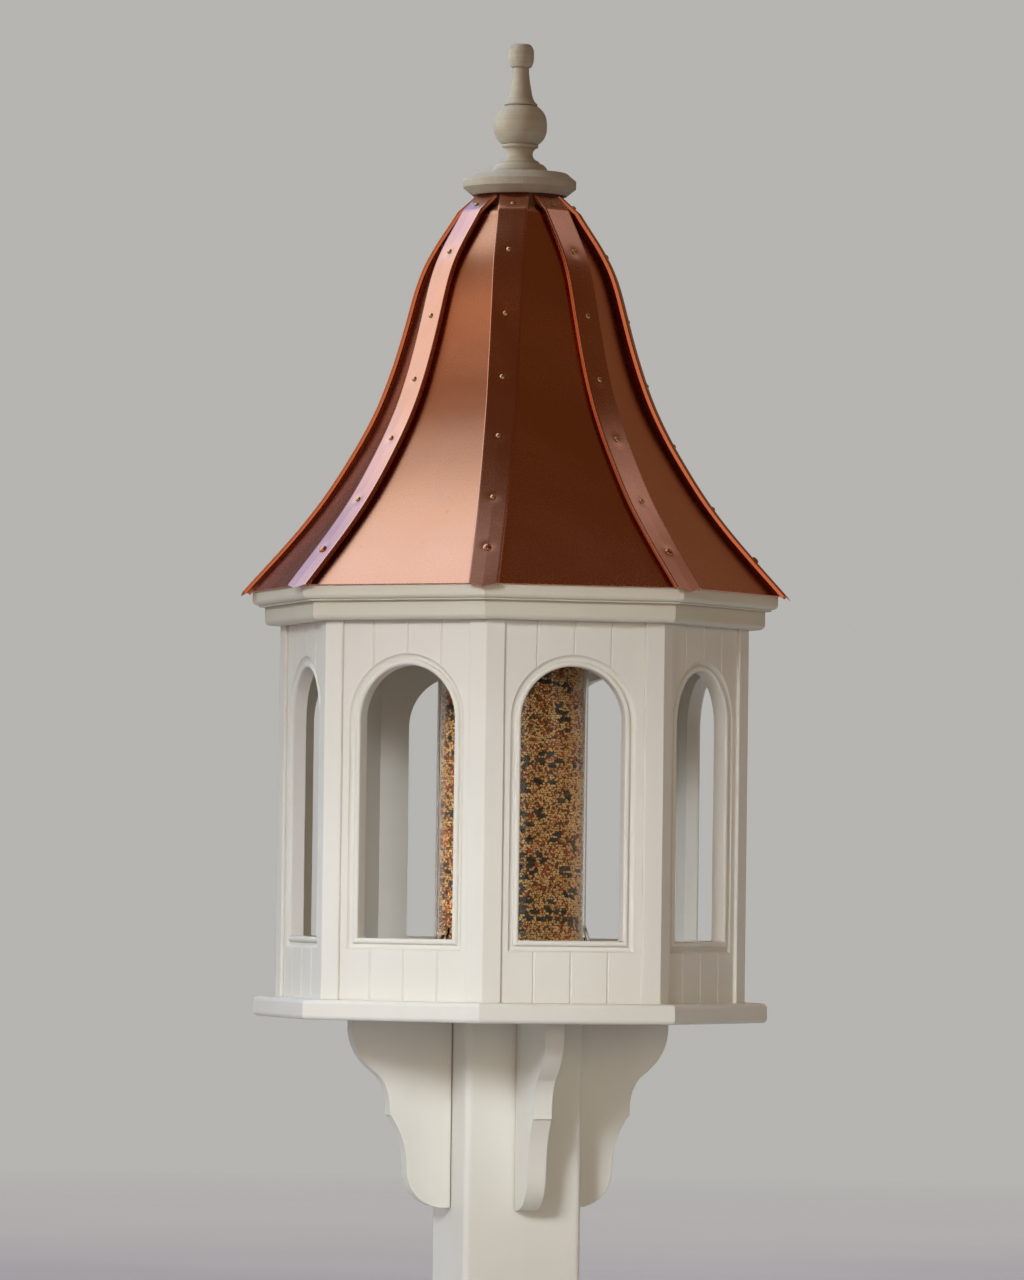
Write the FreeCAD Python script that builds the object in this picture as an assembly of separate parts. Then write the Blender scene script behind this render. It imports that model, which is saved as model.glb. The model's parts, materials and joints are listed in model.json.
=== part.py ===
import FreeCAD, Part

# Post-mounted gazebo bird feeder with a bell roof, in millimetres.
# The origin is the centre of the post sleeve's open bottom end, +Z is up, and the eight facets
# face 0, 45, 90 ... degrees, so the four sleeve sides and brackets face +X, +Y, -X and -Y.

import math
import os

V = FreeCAD.Vector
UP = V(0, 0, 1)
CENTRE = V(0, 0, 0)

# ---- driving dimensions -------------------------------------------------------------------

SIDES = 8
STEP = 360.0 / SIDES                 # degrees from one facet to the next
HALF = math.radians(STEP / 2)        # from a facet's middle to its corner
BRACKET_STEP = 90.0

SLEEVE_WIDTH = 101.6                 # 4 in vinyl sleeve over an 89 mm timber post
SLEEVE_WALL = 3.8
SLEEVE_CORNER = 5.5
SLEEVE_LENGTH = 305.0                # 12 in
SLEEVE_HOLE_R = 2.5                  # fixing screws into the timber post
SLEEVE_HOLE_X = 25.0
SLEEVE_HOLE_Z = 38.0

BLOCK_HEIGHT = 38.0
BLOCK_GAP = 0.25                     # all round, between the block and the sleeve

BRACKET_THICK = 16.0
BRACKET_GAP = 0.8                    # between each bracket and the sleeve

FLOOR_R = 217.7                      # radii of octagons are measured to the corners
FLOOR_THICK = 16.5
FLOOR_NOSE = 3.8

WALL_R = 198.8                       # to the outside of the corner trims
WALL_HEIGHT = 313.0
TRIM_PROUD = 3.0
TRIM_WIDTH = 16.0
TRIM_ROUND = 1.2
PANEL_THICK = 12.7
GROOVE_PITCH = 31.75
GROOVE_WIDTH = 2.2
GROOVE_DEPTH = 1.1

WINDOW_R = 44.45                     # half the opening, and the radius of its arch
SILL_Z = 51.3                        # above the floor's top
SPRING_Z = 231.5                     # centre of the arch, above the floor's top
WINDOW_CORNER = 2.2
BEAD_WIDTH = 4.6                     # round bead next to the opening
BEAD_TOP = 0.3                       # its crown, below the panel's face
COVE_DEPTH = 3.3
COVE_WIDTH = 4.7
SURROUND = BEAD_WIDTH + COVE_WIDTH

CEILING_R = 212.2
CEILING_THICK = 15.5
CEILING_ROUND = 4.5
ROOF_BASE_R = 222.9
ROOF_BASE_THICK = 14.6
ROOF_BASE_ROUND = 4.0
STEP_LINE = 1.6                      # small square step under the roof base's rounded edge
STEP_INSET = 1.4                     # of the step, inside the rounding

TUBE_R = 63.5                        # 5 in tube
TUBE_WALL = 3.2
TUBE_LENGTH = 609.6                  # 24 in
TUBE_HOLE_R = 64.5
OUTLETS = 5
OUTLET_FIRST = -94.0                 # degrees, direction of the first outlet
OUTLET_WIDTH = 16.0
OUTLET_HEIGHT = 54.0
HOOD_TOP = 64.0                      # above the floor's top
HOOD_DROP = 26.0
HOOD_FLARE = 6.5
HOOD_WIDTH = 17.0
HOOD_THICK = 1.6
HOOD_ARC = 40.0                      # degrees of the tube's side that a hood could cover
HOOD_ROOT = 6.0                      # height of the part that is bonded to the tube
HOOD_GAP = 0.05                      # bond line
CONE_BASE = 6.0
CONE_TOP_R = 7.0
CONE_HEIGHT = 46.0
SEED_TOP = 555.0                     # above the floor's top
SEED_PEAK = 14.0
SEED_GAP = 0.15
SEED_FOOT = 0.4                      # seed starts this far above the cone's base
CONE_GAP = 0.3                       # round the cone's base, inside the tube

# Outside line of the ridge caps: distance from the axis, and height above the roof base.
RIDGE_LINE = [(227.0, 1.9), (201.2, 30.5), (167.6, 71.0), (141.0, 111.4), (119.3, 151.9),
              (104.2, 192.2), (92.6, 232.6), (80.0, 273.0), (65.6, 298.6), (51.7, 320.2)]
CAP_TOP_END = (35.6, 334.6)          # the caps bend once and run in under the lid
CAP_OVERHANG = 9.0                   # past the edge of the roof panels
CAP_WIDTH = 25.4
CAP_STAND = 3.4                      # cap above the panels, at the ridge
CAP_FLANGE = 3.6
CAP_CREASE = 0.05                    # fall per unit of half width, each side of the crease
CAP_POINT = 4.7                      # height of the V cut on the cap's lower end
SHEET = 0.8
PANEL_END_DROP = 4.0                 # the panels stop this far below the caps' bend
PANEL_OVERHANG = 1.6                 # of the roof panels past the roof base
PANEL_SEAM = 0.2                     # from each panel's edge to the plane of the ridge
CAP_DROP = 0.75                      # fall of the cap's end per unit of overhang

RIB_THICK = 12.0
RIB_DEPTH = 10.0
RIB_GAP = 0.2                        # under the roof panels
CROWN_R = 33.5
CROWN_HOLE_R = 27.0
CROWN_HEIGHT = 27.0

PIN_HEIGHTS = [71.5, 124.0, 174.5, 228.5, 283.5, 325.0]
PIN_HEAD_R = 2.3
PIN_HEAD_H = 1.3
PIN_SHANK_R = 0.8
PIN_LENGTH = 10.0
PIN_HOLE_GAP = 0.05
RIVET_HEIGHT = 28.5
RIVET_HEAD_R = 3.6
RIVET_HEAD_H = 2.0
RIVET_LENGTH = 8.0

LID_R = 47.7
LID_THICK = 19.0
LID_TOP_CHAMFER = (7.6, 6.4)         # inwards, and down
LID_LOW_CHAMFER = (8.0, 6.4)
LID_GAP = 0.2                        # lid above the crown ring
PLUG_GAP = 0.5                       # plug inside the crown ring's hole
PLUG_THICK = 15.0
PLUG_CHAMFER = 1.5
STUD_R = 4.0
STUD_REACH = 30.0                    # up into the finial
STUD_DEPTH = 13.0                    # down into the plug

SCREW_HEAD_R = 4.2
SCREW_HEAD_H = 3.0
SCREW_SHANK_R = 2.0
SCREW_TAPER = 3.2                    # length of the point
SLEEVE_SCREW = 25.0                  # screw lengths
BRACKET_SCREW = 40.0
BLOCK_SCREW = 45.0
WALL_SCREW = 45.0
ROOF_SCREW = 28.0
RIB_SCREW = 22.0
BRACKET_SCREW_AT = (28.0, 62.0)      # out from the sleeve
BLOCK_SCREW_CIRCLE = 48.0
WALL_SCREW_AT = (-45.0, 45.0)        # along the panel
ROOF_SCREW_CIRCLE = 130.0
RIB_SCREW_INSET = 10.0               # in from the foot of the rib

# ---- heights worked out from them ---------------------------------------------------------

FLOOR_Z = SLEEVE_LENGTH
WALL_Z = FLOOR_Z + FLOOR_THICK
CEILING_Z = WALL_Z + WALL_HEIGHT
ROOF_BASE_Z = CEILING_Z + CEILING_THICK
ROOF_Z = ROOF_BASE_Z + ROOF_BASE_THICK
LID_Z = ROOF_Z + CAP_TOP_END[1] + LID_GAP
CROWN_TOP_Z = LID_Z - LID_GAP
FINIAL_Z = LID_Z + LID_THICK

PANEL_FACE = WALL_R * math.cos(HALF) - TRIM_PROUD      # axis to the outside of the panels
PANEL_BACK = PANEL_FACE - PANEL_THICK


# ---- small helpers ------------------------------------------------------------------------

def polygon_face(points):
    """A flat face through points."""
    return Part.Face(Part.makePolygon(list(points) + [points[0]]))


def octagon(corner_r, z):
    """Corners of an octagon whose flats face the axes."""
    angles = [HALF + math.radians(STEP) * i for i in range(SIDES)]
    return [V(corner_r * math.cos(a), corner_r * math.sin(a), z) for a in angles]


def octagon_board(corner_r, z, thick):
    return polygon_face(octagon(corner_r, z)).extrude(V(0, 0, thick))


def edges_at(shape, z):
    """Level edges of shape at height z."""
    return [e for e in shape.Edges
            if abs(e.BoundBox.ZMin - z) < 1e-4 and abs(e.BoundBox.ZMax - z) < 1e-4]


def turned(shape, degrees):
    """A copy of shape turned about the axis."""
    copy = shape.copy()
    copy.rotate(CENTRE, UP, degrees)
    return copy


def lathe(outline):
    """The solid turned from a closed half outline of (radius, height) edges about the axis."""
    return Part.Face(Part.Wire(outline)).revolve(CENTRE, UP, 360)


def line(p, q):
    """A straight edge in the XZ plane between two (x, z) points."""
    return Part.makeLine(V(p[0], 0, p[1]), V(q[0], 0, q[1]))


def arc(p, middle, q):
    """An arc in the XZ plane through three (x, z) points."""
    return Part.Arc(V(p[0], 0, p[1]), V(middle[0], 0, middle[1]), V(q[0], 0, q[1])).toShape()


def chain(points):
    """Straight edges from point to point in the XZ plane."""
    return [line(p, q) for p, q in zip(points, points[1:])]


def smooth(points):
    """One smooth edge through (x, z) points."""
    curve = Part.BSplineCurve()
    curve.interpolate([V(x, 0, z) for x, z in points])
    return curve.toShape()


def countersunk_screw(length, at, direction):
    """A screw with its flat head at a point, driven along direction."""
    outline = chain([(0, 0), (SCREW_HEAD_R, 0), (SCREW_SHANK_R, -SCREW_HEAD_H),
                     (SCREW_SHANK_R, SCREW_TAPER - length), (0, -length), (0, 0)])
    screw = lathe(outline)
    screw.Placement = FreeCAD.Placement(at, FreeCAD.Rotation(V(0, 0, -1), direction))
    return screw


def screw_ring(count, first, radius, z, length, direction):
    """Vertical screws on a circle, as one group."""
    angles = [math.radians(first + 360.0 / count * i) for i in range(count)]
    return Part.makeCompound([
        countersunk_screw(length, V(radius * math.cos(a), radius * math.sin(a), z), direction)
        for a in angles])


# ---- post sleeve, block and brackets ------------------------------------------------------

def square_prism(width, corner_r, z, height):
    prism = Part.makeBox(width, width, height, V(-width / 2, -width / 2, z))
    upright = [e for e in prism.Edges if e.BoundBox.ZLength > height / 2]
    return prism.makeFillet(corner_r, upright)


def post_sleeve():
    inner = SLEEVE_WIDTH - 2 * SLEEVE_WALL
    sleeve = square_prism(SLEEVE_WIDTH, SLEEVE_CORNER, 0, SLEEVE_LENGTH)
    sleeve = sleeve.cut(square_prism(inner, SLEEVE_CORNER - SLEEVE_WALL, 0, SLEEVE_LENGTH))
    for x in (-SLEEVE_HOLE_X, SLEEVE_HOLE_X):
        hole = Part.makeCylinder(SLEEVE_HOLE_R, SLEEVE_WIDTH * 2,
                                 V(x, -SLEEVE_WIDTH, SLEEVE_HOLE_Z), V(0, 1, 0))
        sleeve = sleeve.cut(hole)
    return sleeve


def mounting_block():
    width = SLEEVE_WIDTH - 2 * (SLEEVE_WALL + BLOCK_GAP)
    corner = SLEEVE_CORNER - SLEEVE_WALL
    return square_prism(width, corner, FLOOR_Z - BLOCK_HEIGHT, BLOCK_HEIGHT)


def bracket():
    """Scrolled plate on the +X side: (reach from the sleeve, depth below the floor)."""
    lobe = smooth([(86.7, -8), (85.2, -18), (80.5, -29.5), (72, -40), (62, -48.5)])
    hollow = smooth([(62, -48.5), (56.2, -58.5), (53.6, -69), (53.4, -80.5)])
    waist = smooth([(51.4, -81.5), (46.9, -89.5), (41.8, -101), (38.8, -115), (37.8, -129)])
    foot = smooth([(37.8, -129), (34.6, -140.5), (27.5, -150), (17, -156), (6.5, -158)])
    outline = chain([(0, 0), (86.7, 0), (86.7, -8)]) + [lobe, hollow]
    outline += chain([(53.4, -80.5), (51.4, -81.5)]) + [waist, foot]
    outline += chain([(6.5, -158), (0, -158), (0, 0)])
    plate = Part.Face(Part.Wire(outline)).extrude(V(0, BRACKET_THICK, 0))
    plate.translate(V(SLEEVE_WIDTH / 2 + BRACKET_GAP, -BRACKET_THICK / 2, FLOOR_Z))
    return plate


# ---- floor, walls and cornice -------------------------------------------------------------

def floor_board():
    board = octagon_board(FLOOR_R, FLOOR_Z, FLOOR_THICK)
    nose = edges_at(board, FLOOR_Z) + edges_at(board, WALL_Z)
    return board.makeFillet(FLOOR_NOSE, nose)


def surround_profile():
    """What the router takes off: (distance out from the opening, height over the face)."""
    bead_r = BEAD_WIDTH / 2
    foot = -BEAD_TOP - bead_r
    return ([line((-1, 2), (-1, foot)), line((-1, foot), (0, foot)),
             arc((0, foot), (bead_r, -BEAD_TOP), (BEAD_WIDTH, foot)),
             line((BEAD_WIDTH, foot), (BEAD_WIDTH, -COVE_DEPTH)),
             arc((BEAD_WIDTH, -COVE_DEPTH),
                 (BEAD_WIDTH + COVE_WIDTH * 0.72, -COVE_DEPTH * 0.66), (SURROUND, 0))]
            + chain([(SURROUND, 0), (SURROUND, 2), (-1, 2)]))


def surround_cutter():
    """Cove and bead round the window of the facet that faces +Y, in its own frame.

    Drawn with the panel's face at y = 0, outside at +Y, and the floor's top at z = 0.
    """
    section = Part.Face(Part.Wire(surround_profile()))
    section.rotate(CENTRE, V(1, 0, 0), -90)             # the profile's height becomes +Y
    jamb = section.copy()
    jamb.translate(V(WINDOW_R, 0, SPRING_Z))
    arch = jamb.copy().revolve(V(0, 0, SPRING_Z), V(0, -1, 0), 180)
    below = SILL_Z - 2 * SURROUND
    right = jamb.extrude(V(0, 0, below - SPRING_Z))
    sill = section.copy()
    sill.rotate(CENTRE, V(0, 1, 0), 90)                 # distance out now runs down
    half_sill = WINDOW_R + 2 * SURROUND
    sill.translate(V(-half_sill, 0, SILL_Z))
    sill = sill.extrude(V(2 * half_sill, 0, 0))
    # mitre the corners: the sill keeps what lies below both 45 degree lines
    far = 3 * WINDOW_R
    wedge = polygon_face([V(-WINDOW_R, 0, SILL_Z), V(WINDOW_R, 0, SILL_Z),
                          V(WINDOW_R + far, 0, SILL_Z - far),
                          V(-WINDOW_R - far, 0, SILL_Z - far)])
    wedge.translate(V(0, -4 * COVE_DEPTH, 0))
    wedge = wedge.extrude(V(0, 8 * COVE_DEPTH, 0))
    sill = sill.common(wedge)
    right = right.cut(wedge)
    left = right.mirror(CENTRE, V(1, 0, 0))
    return [arch, right, left, sill]


def window_opening():
    """The arched hole, through the panel, in the facet's own frame."""
    arch_top = V(0, 0, SPRING_Z + WINDOW_R)
    outline = [Part.makeLine(V(-WINDOW_R, 0, SILL_Z), V(WINDOW_R, 0, SILL_Z)),
               Part.makeLine(V(WINDOW_R, 0, SILL_Z), V(WINDOW_R, 0, SPRING_Z)),
               Part.Arc(V(WINDOW_R, 0, SPRING_Z), arch_top, V(-WINDOW_R, 0, SPRING_Z)).toShape(),
               Part.makeLine(V(-WINDOW_R, 0, SPRING_Z), V(-WINDOW_R, 0, SILL_Z))]
    hole = Part.Face(Part.Wire(outline))
    hole.translate(V(0, -2 * PANEL_THICK, 0))
    hole = hole.extrude(V(0, 3 * PANEL_THICK, 0))
    corners = [e for e in hole.Edges
               if e.BoundBox.YLength > PANEL_THICK and abs(e.BoundBox.ZMax - SILL_Z) < 1e-4]
    return hole.makeFillet(WINDOW_CORNER, corners)


def groove(x, z_low, z_high):
    """A V groove down the panel's face, in the facet's own frame."""
    half = GROOVE_WIDTH / 2
    section = polygon_face([V(x - half, 0, z_low), V(x, -GROOVE_DEPTH, z_low),
                            V(x + half, 0, z_low), V(x, GROOVE_DEPTH, z_low)])
    return section.extrude(V(0, 0, z_high - z_low))


def wall_panel():
    """The grooved panel of the facet that faces +Y, mitred to its neighbours."""
    slope = math.tan(HALF)
    outline = [V(-PANEL_BACK * slope, PANEL_BACK, 0), V(PANEL_BACK * slope, PANEL_BACK, 0),
               V(PANEL_FACE * slope, PANEL_FACE, 0), V(-PANEL_FACE * slope, PANEL_FACE, 0)]
    panel = polygon_face(outline).extrude(V(0, 0, WALL_HEIGHT))
    tools = [window_opening()] + surround_cutter()
    outer_arch = WINDOW_R + SURROUND
    for x in (-GROOVE_PITCH, 0, GROOVE_PITCH):
        rise = math.sqrt(outer_arch ** 2 - x ** 2)
        tools.append(groove(x, -1, SILL_Z - SURROUND + 0.3))
        tools.append(groove(x, SPRING_Z + rise - 0.4, WALL_HEIGHT + 1))
    for tool in tools:
        tool.translate(V(0, PANEL_FACE, 0))
        panel = panel.cut(tool)
    panel.translate(V(0, 0, WALL_Z))
    return turned(panel, -90)                            # facet 0 faces +X


def corner_trim():
    """The angled strip over the joint between facets 0 and 1."""
    outer = WALL_R
    inner = PANEL_FACE / math.cos(HALF)
    edge = TRIM_WIDTH

    def along(corner_r, side, distance):
        """A point on the facet's surface, distance from the corner, before turning."""
        run = V(-math.sin(HALF), side * math.cos(HALF), 0)
        return V(corner_r, 0, 0) + run * distance

    slack = TRIM_PROUD * math.tan(HALF)
    points = [along(outer, 1, edge), V(outer, 0, 0), along(outer, -1, edge),
              along(inner, -1, edge - slack), V(inner, 0, 0), along(inner, 1, edge - slack)]
    strip = polygon_face(points).extrude(V(0, 0, WALL_HEIGHT))
    outside = [V(p.x, p.y, WALL_HEIGHT / 2) for p in points[:3]]
    arrises = [e for e in strip.Edges if e.BoundBox.ZLength > 1
               and min(e.CenterOfMass.distanceToPoint(p) for p in outside) < 0.01]
    strip = strip.makeFillet(TRIM_ROUND, arrises)
    strip.translate(V(0, 0, WALL_Z))
    return turned(strip, STEP / 2)


def ceiling_board():
    board = octagon_board(CEILING_R, CEILING_Z, CEILING_THICK)
    board = board.makeFillet(CEILING_ROUND, edges_at(board, CEILING_Z))
    return board.cut(Part.makeCylinder(TUBE_HOLE_R, CEILING_THICK, V(0, 0, CEILING_Z)))


def roof_base_board():
    """The upper board, rounded below, with a small square step next to the ceiling board."""
    step = octagon_board(ROOF_BASE_R - ROOF_BASE_ROUND - STEP_INSET, ROOF_BASE_Z, STEP_LINE)
    board = octagon_board(ROOF_BASE_R, ROOF_BASE_Z + STEP_LINE, ROOF_BASE_THICK - STEP_LINE)
    board = board.makeFillet(ROOF_BASE_ROUND, edges_at(board, ROOF_BASE_Z + STEP_LINE))
    board = board.fuse(step).removeSplitter()
    return board.cut(Part.makeCylinder(TUBE_HOLE_R, ROOF_BASE_THICK, V(0, 0, ROOF_BASE_Z)))


# ---- roof ---------------------------------------------------------------------------------

def ridge_curve():
    """The caps' outside line in the XZ plane, before offsets, from the eave to the bend."""
    curve = Part.BSplineCurve()
    curve.interpolate([V(r, 0, ROOF_Z + h) for r, h in RIDGE_LINE])
    return curve


def outward(curve, t):
    """Unit normal of the ridge line, away from the axis."""
    tangent = curve.tangent(t)[0]
    normal = V(tangent.z, 0, -tangent.x)
    return normal if normal.x > 0 else normal * -1


def curve_at_height(curve, height):
    """Parameter of the ridge line at a height above the roof base."""
    low, high = curve.FirstParameter, curve.LastParameter
    for _ in range(40):
        middle = (low + high) / 2
        if curve.value(middle).z < ROOF_Z + height:
            low = middle
        else:
            high = middle
    return low


def offset_points(offset, flatten=1.0, below=0.0, top_height=None, inset=0.0, count=26):
    """Points along the ridge line, offset along its normal and moved in by inset.

    flatten scales the distance from the axis, below runs the line on past the eave, and
    top_height ends it early.
    """
    curve = ridge_curve()
    first, last = curve.FirstParameter, curve.LastParameter
    if top_height is not None:
        last = curve_at_height(curve, top_height)
    points = []
    if below:
        start = curve.value(first) - curve.tangent(first)[0] * below
        points.append(start + outward(curve, first) * offset)
    for i in range(count):
        t = first + (last - first) * i / (count - 1)
        points.append(curve.value(t) + outward(curve, t) * offset)
    return [((p.x - inset) * flatten, p.z) for p in points]


def band(outer, inner):
    """The face between two lines of (x, z) points that run the same way."""
    edges = [smooth(outer), line(outer[-1], inner[-1]), smooth(inner), line(inner[0], outer[0])]
    return Part.Face(Part.Wire(Part.sortEdges(edges)[0]))


def roof_panel():
    """One bent sheet on facet 0: the same bend all across, trimmed along both ridges."""
    squash = math.cos(HALF)
    top = RIDGE_LINE[-1][1] - PANEL_END_DROP
    outer = offset_points(-CAP_STAND, squash, PANEL_OVERHANG, top)
    inner = offset_points(-CAP_STAND - SHEET, squash, PANEL_OVERHANG, top)
    width = FLOOR_R
    sheet = band(outer, inner)
    sheet.translate(V(0, -width, 0))
    sheet = sheet.extrude(V(0, 2 * width, 0))
    reach = 2 * FLOOR_R
    start = V(PANEL_SEAM / math.sin(HALF), 0, ROOF_Z - 20)
    spread = reach * math.tan(HALF)
    wedge = polygon_face([start, start + V(reach, spread, 0), start + V(reach, -spread, 0)])
    return sheet.common(wedge.extrude(V(0, 0, RIDGE_LINE[-1][1] + 40)))


def cap_lines(offset):
    """The cap's long curve and its straight top end, both at one offset."""
    curved = offset_points(offset, below=CAP_OVERHANG)
    bend = curved[-1]
    end = CAP_TOP_END
    run = V(end[0] - RIDGE_LINE[-1][0], 0, end[1] - RIDGE_LINE[-1][1])
    normal = V(run.z, 0, -run.x).normalize() * offset
    return curved, [bend, (end[0] + normal.x, ROOF_Z + end[1] + normal.z)]


def cap_half(outer_offset, inner_offset, sweep):
    """Band of the cap between two offsets, swept sideways, long curve and top end joined."""
    outer_curved, outer_top = cap_lines(outer_offset)
    inner_curved, inner_top = cap_lines(inner_offset)
    long_band = band(outer_curved, inner_curved).extrude(sweep)
    ring = chain(outer_top) + [line(outer_top[-1], inner_top[-1])]
    ring += [line(inner_top[-1], inner_top[0]), line(inner_top[0], outer_top[0])]
    return long_band.fuse(Part.Face(Part.Wire(ring)).extrude(sweep))


def ridge_cap():
    """The folded strip over the ridge between facets 0 and 1."""
    half = CAP_WIDTH / 2
    sides = []
    for side in (1, -1):
        sweep = V(-CAP_CREASE * half, side * half, 0)
        top = cap_half(0, -SHEET, sweep)
        flange = cap_half(0, -CAP_FLANGE, V(-CAP_CREASE * SHEET, side * SHEET, 0))
        flange.translate(sweep * (1 - SHEET / half))
        sides.append(top.fuse(flange))
    cap = sides[0].fuse(sides[1])
    low = ROOF_Z + RIDGE_LINE[0][1] - CAP_OVERHANG * CAP_DROP
    deep = low - 4 * CAP_OVERHANG
    point = polygon_face([V(0, 0, low), V(0, half, low + CAP_POINT), V(0, CAP_WIDTH, low + CAP_POINT),
                          V(0, CAP_WIDTH, deep), V(0, -CAP_WIDTH, deep),
                          V(0, -CAP_WIDTH, low + CAP_POINT), V(0, -half, low + CAP_POINT)])
    point = point.extrude(V(2 * FLOOR_R, 0, 0))
    cap = cap.cut(point)
    return turned(cap, STEP / 2)


def domed_pin(head_r, head_h, length):
    """A nail along Z with a domed head above z = 0."""
    outline = [arc((0, head_h), (head_r * 0.7, head_h * 0.72), (head_r, 0))]
    outline += chain([(head_r, 0), (PIN_SHANK_R, 0), (PIN_SHANK_R, -length), (0, -length),
                      (0, head_h)])
    return lathe(outline)


def pin_hole(length):
    """The hole that a pin's shank needs, running on above the head."""
    return Part.makeCylinder(PIN_SHANK_R + PIN_HOLE_GAP, length + 4, V(0, 0, -length))


def seat_on_ridge(height):
    """Placement that stands a piece on the cap of the ridge at +X, at a height over the eave."""
    curve = ridge_curve()
    bend, end = RIDGE_LINE[-1], CAP_TOP_END
    if height < bend[1]:
        t = curve_at_height(curve, height)
        point, normal = curve.value(t), outward(curve, t)
    else:
        share = (height - bend[1]) / (end[1] - bend[1])
        point = V(bend[0] + (end[0] - bend[0]) * share, 0, ROOF_Z + height)
        normal = V(end[1] - bend[1], 0, bend[0] - end[0]).normalize()
    return FreeCAD.Placement(point, FreeCAD.Rotation(UP, normal))


def round_the_roof(piece, heights):
    """Copies of piece on all eight ridges at each height."""
    copies = []
    for height in heights:
        seated = piece.copy()
        seated.Placement = seat_on_ridge(height)
        copies += [turned(seated, STEP * (i + 0.5)) for i in range(SIDES)]
    return Part.makeCompound(copies)


def roof_ribs():
    """Eight curved ribs under the ridges, from the roof base up to the crown ring."""
    inset = RIB_THICK / 2 * math.tan(HALF)
    under = -CAP_STAND - SHEET - RIB_GAP
    outer = offset_points(under, inset=inset)
    inner = offset_points(under - RIB_DEPTH, inset=inset)
    (top_r, top_z), (low_r, low_z) = outer[-1], inner[-1]
    heel = chain([(top_r, top_z), (low_r, low_z), (0, low_z), (0, top_z), (top_r, top_z)])
    sides = []
    for face in (band(outer, inner), Part.Face(Part.Wire(heel))):
        face.translate(V(0, -RIB_THICK / 2, 0))
        sides.append(face.extrude(V(0, RIB_THICK, 0)))
    keep = Part.makeCylinder(FLOOR_R * 2, CROWN_TOP_Z - ROOF_Z, V(0, 0, ROOF_Z))
    inside = Part.makeCylinder(CROWN_R, 2 * CROWN_HEIGHT, V(0, 0, CROWN_TOP_Z - 2 * CROWN_HEIGHT))
    rib = sides[0].fuse(sides[1]).common(keep).cut(inside)
    return Part.makeCompound([turned(rib, STEP * (i + 0.5)) for i in range(SIDES)])


def crown_ring():
    ring = Part.makeCylinder(CROWN_R, CROWN_HEIGHT, V(0, 0, CROWN_TOP_Z - CROWN_HEIGHT))
    return ring.cut(Part.makeCylinder(CROWN_HOLE_R, CROWN_HEIGHT,
                                      V(0, 0, CROWN_TOP_Z - CROWN_HEIGHT)))


# ---- seed tube ----------------------------------------------------------------------------

def outlet_angles():
    return [OUTLET_FIRST + 360.0 / OUTLETS * i for i in range(OUTLETS)]


def arched_prism(width, height, depth_from, depth_to):
    """A round-topped block on the +X side, standing on z = 0."""
    half = width / 2
    outline = [Part.makeLine(V(depth_from, -half, 0), V(depth_from, half, 0)),
               Part.makeLine(V(depth_from, half, 0), V(depth_from, half, height - half)),
               Part.Arc(V(depth_from, half, height - half), V(depth_from, 0, height),
                        V(depth_from, -half, height - half)).toShape(),
               Part.makeLine(V(depth_from, -half, height - half), V(depth_from, -half, 0))]
    return Part.Face(Part.Wire(outline)).extrude(V(depth_to - depth_from, 0, 0))


def seed_tube():
    tube = Part.makeCylinder(TUBE_R, TUBE_LENGTH)
    tube = tube.cut(Part.makeCylinder(TUBE_R - TUBE_WALL, TUBE_LENGTH))
    outlet = arched_prism(OUTLET_WIDTH, OUTLET_HEIGHT, TUBE_R * 0.8, TUBE_R * 1.2)
    for angle in outlet_angles():
        tube = tube.cut(turned(outlet, angle))
    tube.translate(V(0, 0, WALL_Z))
    return tube


def outlet_hoods():
    """Small clear hoods that lean out over the outlets."""
    inside = TUBE_R + HOOD_GAP
    low = HOOD_TOP - HOOD_DROP
    outline = chain([(inside, HOOD_TOP), (inside, HOOD_TOP - HOOD_ROOT),
                     (inside + HOOD_FLARE, low), (inside + HOOD_FLARE + HOOD_THICK, low),
                     (inside + HOOD_THICK, HOOD_TOP - HOOD_ROOT + 1), (inside, HOOD_TOP)])
    shell = Part.Face(Part.Wire(outline)).revolve(CENTRE, UP, HOOD_ARC)
    shell = turned(shell, -HOOD_ARC / 2)
    hood = shell.common(arched_prism(HOOD_WIDTH, HOOD_TOP - 0.5, TUBE_R * 0.8, TUBE_R * 1.3))
    hoods = [turned(hood, angle) for angle in outlet_angles()]
    group = Part.makeCompound(hoods)
    group.translate(V(0, 0, WALL_Z))
    return group


def seed_cone():
    """Deflector under the seed: its rim centres the tube."""
    rim = TUBE_R - TUBE_WALL - CONE_GAP
    outline = chain([(0, 0), (rim, 0), (rim, CONE_BASE), (CONE_TOP_R, CONE_HEIGHT),
                     (0, CONE_HEIGHT), (0, 0)])
    cone = lathe(outline)
    cone.translate(V(0, 0, WALL_Z))
    return cone


def seed_fill():
    """The seed charge, standing on the cone inside the tube."""
    side = TUBE_R - TUBE_WALL - SEED_GAP
    rim = CONE_BASE + SEED_FOOT
    outline = chain([(0, CONE_HEIGHT + SEED_GAP), (CONE_TOP_R, CONE_HEIGHT + SEED_GAP),
                     (side, rim), (side, SEED_TOP - SEED_PEAK), (0, SEED_TOP),
                     (0, CONE_HEIGHT + SEED_GAP)])
    seed = lathe(outline)
    seed.translate(V(0, 0, WALL_Z))
    return seed


# ---- filler lid ---------------------------------------------------------------------------

def lid_disc():
    top_in, top_down = LID_TOP_CHAMFER
    low_in, low_up = LID_LOW_CHAMFER
    outline = chain([(STUD_R, 0), (LID_R - low_in, 0), (LID_R, low_up),
                     (LID_R, LID_THICK - top_down), (LID_R - top_in, LID_THICK),
                     (STUD_R, LID_THICK), (STUD_R, 0)])
    disc = lathe(outline)
    disc.translate(V(0, 0, LID_Z))
    return disc


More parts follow.
